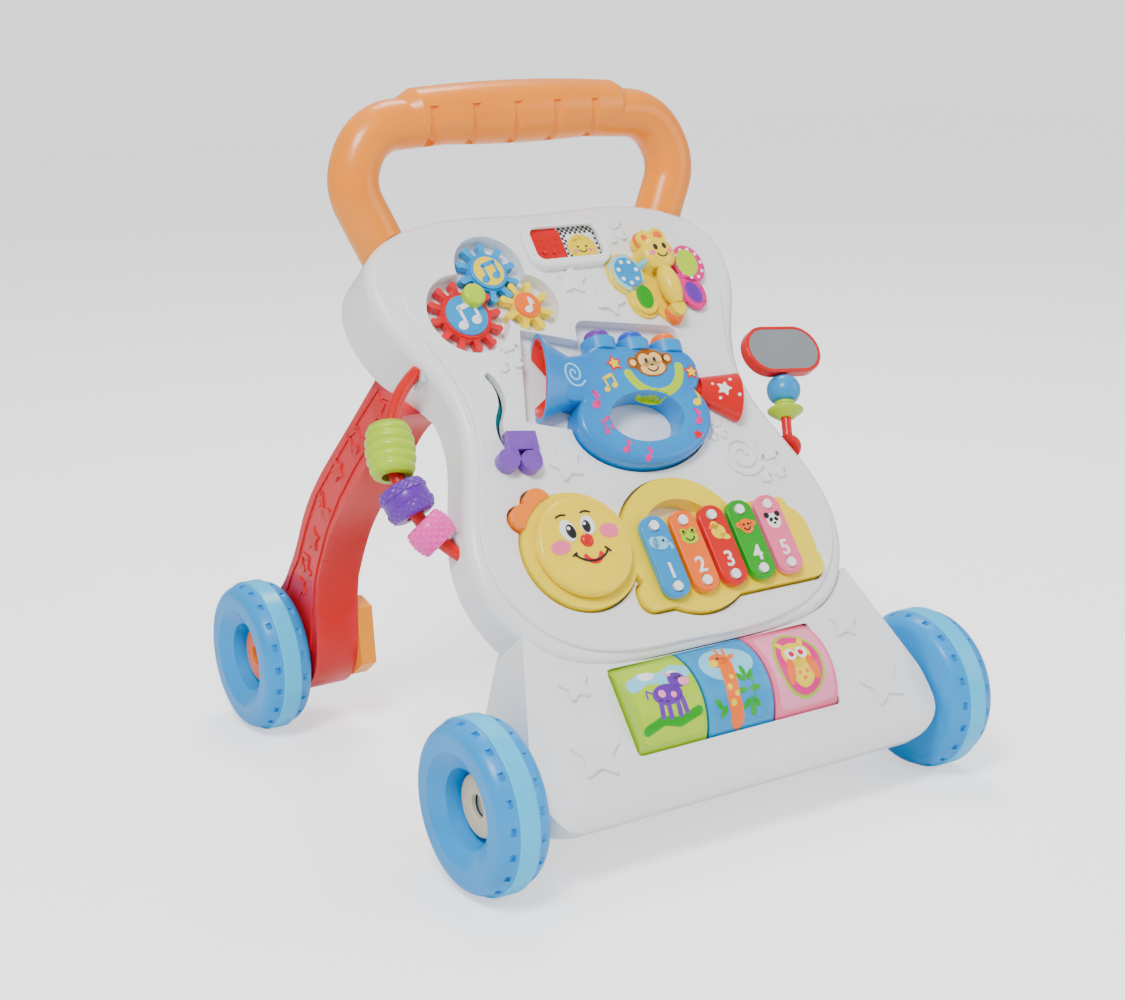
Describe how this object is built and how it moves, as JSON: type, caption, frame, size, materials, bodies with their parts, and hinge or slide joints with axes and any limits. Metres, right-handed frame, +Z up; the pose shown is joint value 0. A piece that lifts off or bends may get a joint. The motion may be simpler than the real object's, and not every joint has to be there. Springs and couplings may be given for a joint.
{
  "type": "baby walker",
  "caption": "Push-along baby walker with a tilted activity panel, hoop handle, splayed rear legs, turning wheels, picture rollers, gears, toy trumpet and xylophone.",
  "frame": {"origin": "on the floor under the middle of the overall box", "axes": "+Z up, the activity panel faces -Y, the child stands and walks behind at +Y, +X is to the right seen from the front"},
  "size_m": [0.39, 0.44, 0.465],
  "materials": {
    "body_white": "satin",
    "handle_orange": "satin",
    "leg_red": "satin",
    "tyre_blue": "satin",
    "band_blue": "matte",
    "axle_grey": "brushed",
    "lime": "satin",
    "navy": "satin",
    "purple": "satin",
    "pink": "satin",
    "yellow": "satin",
    "blue": "satin",
    "sky_blue": "satin",
    "orange": "satin",
    "red": "satin",
    "green": "satin",
    "rose": "satin",
    "screw_steel": "polished",
    "speaker_grey": "matte",
    "clip_grey": "matte",
    "silver_mirror": "polished"
  },
  "bodies": {
    "walker": {"front_shell": "body_white", "rear_shell": "body_white", "case_screws": "screw_steel", "battery_cover": "body_white", "speaker": "speaker_grey", "base_shell": "body_white", "base_cover": "body_white", "roller_shaft": "axle_grey", "handle_front": "handle_orange", "handle_rear": "handle_orange", "leg_left": "leg_red", "leg_right": "leg_red", "rear_bearings": "orange", "stub_axles": "axle_grey", "window_frame": "body_white", "butterfly_base": "yellow", "gear_posts": "body_white", "bead_bar": "red", "mirror_stalk": "red", "side_sockets": "clip_grey"},
    "front_left_wheel": {"wheel_front_left": "tyre_blue", "band_front_left": "band_blue"},
    "front_right_wheel": {"wheel_front_right": "tyre_blue", "band_front_right": "band_blue"},
    "rear_left_wheel": {"wheel_rear_left": "tyre_blue", "band_rear_left": "band_blue"},
    "rear_right_wheel": {"wheel_rear_right": "tyre_blue", "band_rear_right": "band_blue"},
    "left_roller": {"roller_left": "lime"},
    "middle_roller": {"roller_middle": "sky_blue"},
    "right_roller": {"roller_right": "rose"},
    "red_gear": {"gear_red": "red", "crank_knob": "lime"},
    "blue_gear": {"gear_blue": "sky_blue"},
    "yellow_gear": {"gear_yellow": "yellow"},
    "door": {"window_door": "red"},
    "page": {"butterfly_page": "rose"},
    "note": {"note_slider": "purple"},
    "trumpet": {"trumpet_body": "blue", "bell_liner": "red", "mouthpiece": "red"},
    "left_valve": {"valve_left": "purple"},
    "middle_valve": {"valve_middle": "navy"},
    "right_valve": {"valve_right": "orange"},
    "worm": {"worm_frame": "yellow", "head_tufts": "orange", "key_pins": "body_white"},
    "drum": {"head_drum": "yellow"},
    "one_key": {"key_one": "sky_blue"},
    "two_key": {"key_two": "orange"},
    "three_key": {"key_three": "red"},
    "four_key": {"key_four": "green"},
    "five_key": {"key_five": "rose"},
    "pink_bead": {"bead_pink": "pink"},
    "purple_bead": {"bead_purple": "purple"},
    "green_bead": {"bead_green": "lime"},
    "ball_bead": {"bead_ball": "sky_blue"},
    "saucer_bead": {"bead_saucer": "lime"},
    "mirror": {"mirror_frame": "red", "mirror_glass": "silver_mirror"}
  },
  "joints": [
    {"name": "front_left_wheel_spin", "type": "hinge", "parent": "walker", "child": "front_left_wheel", "pos_m": [-0.177, -0.165, 0.055], "axis": [1, 0, 0], "continuous": true},
    {"name": "front_right_wheel_spin", "type": "hinge", "parent": "walker", "child": "front_right_wheel", "pos_m": [0.177, -0.165, 0.055], "axis": [1, 0, 0], "continuous": true},
    {"name": "rear_left_wheel_spin", "type": "hinge", "parent": "walker", "child": "rear_left_wheel", "pos_m": [-0.1695, 0.165, 0.055], "axis": [1, 0, 0], "continuous": true},
    {"name": "rear_right_wheel_spin", "type": "hinge", "parent": "walker", "child": "rear_right_wheel", "pos_m": [0.1695, 0.165, 0.055], "axis": [1, 0, 0], "continuous": true},
    {"name": "left_roller_spin", "type": "hinge", "parent": "walker", "child": "left_roller", "pos_m": [0, -0.15274, 0.07862], "axis": [1, 0, 0], "continuous": true},
    {"name": "middle_roller_spin", "type": "hinge", "parent": "walker", "child": "middle_roller", "pos_m": [0, -0.15274, 0.07862], "axis": [1, 0, 0], "continuous": true},
    {"name": "right_roller_spin", "type": "hinge", "parent": "walker", "child": "right_roller", "pos_m": [0, -0.15274, 0.07862], "axis": [1, 0, 0], "continuous": true},
    {"name": "red_gear_spin", "type": "hinge", "parent": "walker", "child": "red_gear", "pos_m": [-0.08243, 0.00624, 0.31401], "axis": [0, -0.7894, 0.6139], "continuous": true},
    {"name": "blue_gear_spin", "type": "hinge", "parent": "walker", "child": "blue_gear", "pos_m": [-0.0541, 0.02502, 0.33815], "axis": [0, -0.7894, 0.6139], "continuous": true},
    {"name": "yellow_gear_spin", "type": "hinge", "parent": "walker", "child": "yellow_gear", "pos_m": [-0.03424, 0.00799, 0.31626], "axis": [0, -0.7894, 0.6139], "continuous": true},
    {"name": "door_slide", "type": "slide", "parent": "walker", "child": "door", "axis": [1, 0, 0], "range_m": [0, 0.03]},
    {"name": "page_turn", "type": "hinge", "parent": "walker", "child": "page", "pos_m": [0.074, -0.01053, 0.32551], "axis": [0, -0.6139, -0.7894], "range_deg": [0, 170]},
    {"name": "note_follow", "type": "hinge", "parent": "walker", "child": "note", "pos_m": [-0.06829, -0.05652, 0.24958], "axis": [0, -0.7894, 0.6139], "range_deg": [-54, 4]},
    {"name": "trumpet_lift", "type": "slide", "parent": "walker", "child": "trumpet", "axis": [0, -0.7894, 0.6139], "range_m": [0, 0.03]},
    {"name": "left_valve_press", "type": "slide", "parent": "trumpet", "child": "left_valve", "axis": [-0.1736, -0.6045, -0.7774], "range_m": [0, 0.004], "stiffness_N_per_m": 600},
    {"name": "middle_valve_press", "type": "slide", "parent": "trumpet", "child": "middle_valve", "axis": [-0.1736, -0.6045, -0.7774], "range_m": [0, 0.004], "stiffness_N_per_m": 600},
    {"name": "right_valve_press", "type": "slide", "parent": "trumpet", "child": "right_valve", "axis": [-0.1736, -0.6045, -0.7774], "range_m": [0, 0.004], "stiffness_N_per_m": 600},
    {"name": "worm_lift", "type": "slide", "parent": "walker", "child": "worm", "axis": [0, -0.7894, 0.6139], "range_m": [0, 0.03]},
    {"name": "drum_press", "type": "slide", "parent": "worm", "child": "drum", "axis": [0, 0.7894, -0.6139], "range_m": [0, 0.0015], "stiffness_N_per_m": 3000},
    {"name": "one_key_press", "type": "slide", "parent": "worm", "child": "one_key", "axis": [0, 0.7894, -0.6139], "range_m": [0, 0.0012], "stiffness_N_per_m": 2500},
    {"name": "two_key_press", "type": "slide", "parent": "worm", "child": "two_key", "axis": [0, 0.7894, -0.6139], "range_m": [0, 0.0012], "stiffness_N_per_m": 2500},
    {"name": "three_key_press", "type": "slide", "parent": "worm", "child": "three_key", "axis": [0, 0.7894, -0.6139], "range_m": [0, 0.0012], "stiffness_N_per_m": 2500},
    {"name": "four_key_press", "type": "slide", "parent": "worm", "child": "four_key", "axis": [0, 0.7894, -0.6139], "range_m": [0, 0.0012], "stiffness_N_per_m": 2500},
    {"name": "five_key_press", "type": "slide", "parent": "worm", "child": "five_key", "axis": [0, 0.7894, -0.6139], "range_m": [0, 0.0012], "stiffness_N_per_m": 2500},
    {"name": "pink_bead_slide", "type": "hinge", "parent": "walker", "child": "pink_bead", "pos_m": [-0.08511, -0.04693, 0.23132], "axis": [0, 0.8215, -0.5702], "range_deg": [-1, 8]},
    {"name": "purple_bead_slide", "type": "hinge", "parent": "pink_bead", "child": "purple_bead", "pos_m": [-0.08511, -0.04693, 0.23132], "axis": [0, 0.8215, -0.5702], "range_deg": [0, 8]},
    {"name": "green_bead_slide", "type": "hinge", "parent": "purple_bead", "child": "green_bead", "pos_m": [-0.08511, -0.04693, 0.23132], "axis": [0, 0.8215, -0.5702], "range_deg": [0, 9]},
    {"name": "ball_bead_spin", "type": "hinge", "parent": "walker", "child": "ball_bead", "pos_m": [0.131, -0.07264, 0.2142], "axis": [0.2894, 0.4967, 0.8183], "continuous": true},
    {"name": "saucer_bead_spin", "type": "hinge", "parent": "walker", "child": "saucer_bead", "pos_m": [0.131, -0.07264, 0.2142], "axis": [0.2894, 0.4967, 0.8183], "continuous": true},
    {"name": "mirror_turn", "type": "hinge", "parent": "walker", "child": "mirror", "pos_m": [0.131, -0.07264, 0.2142], "axis": [0.2894, 0.4967, 0.8183], "range_deg": [-90, 90]}
  ],
  "couplings": [
    {"joint": "blue_gear_spin", "follows": "red_gear_spin", "ratio": -1.2},
    {"joint": "yellow_gear_spin", "follows": "red_gear_spin", "ratio": 1.5}
  ]
}
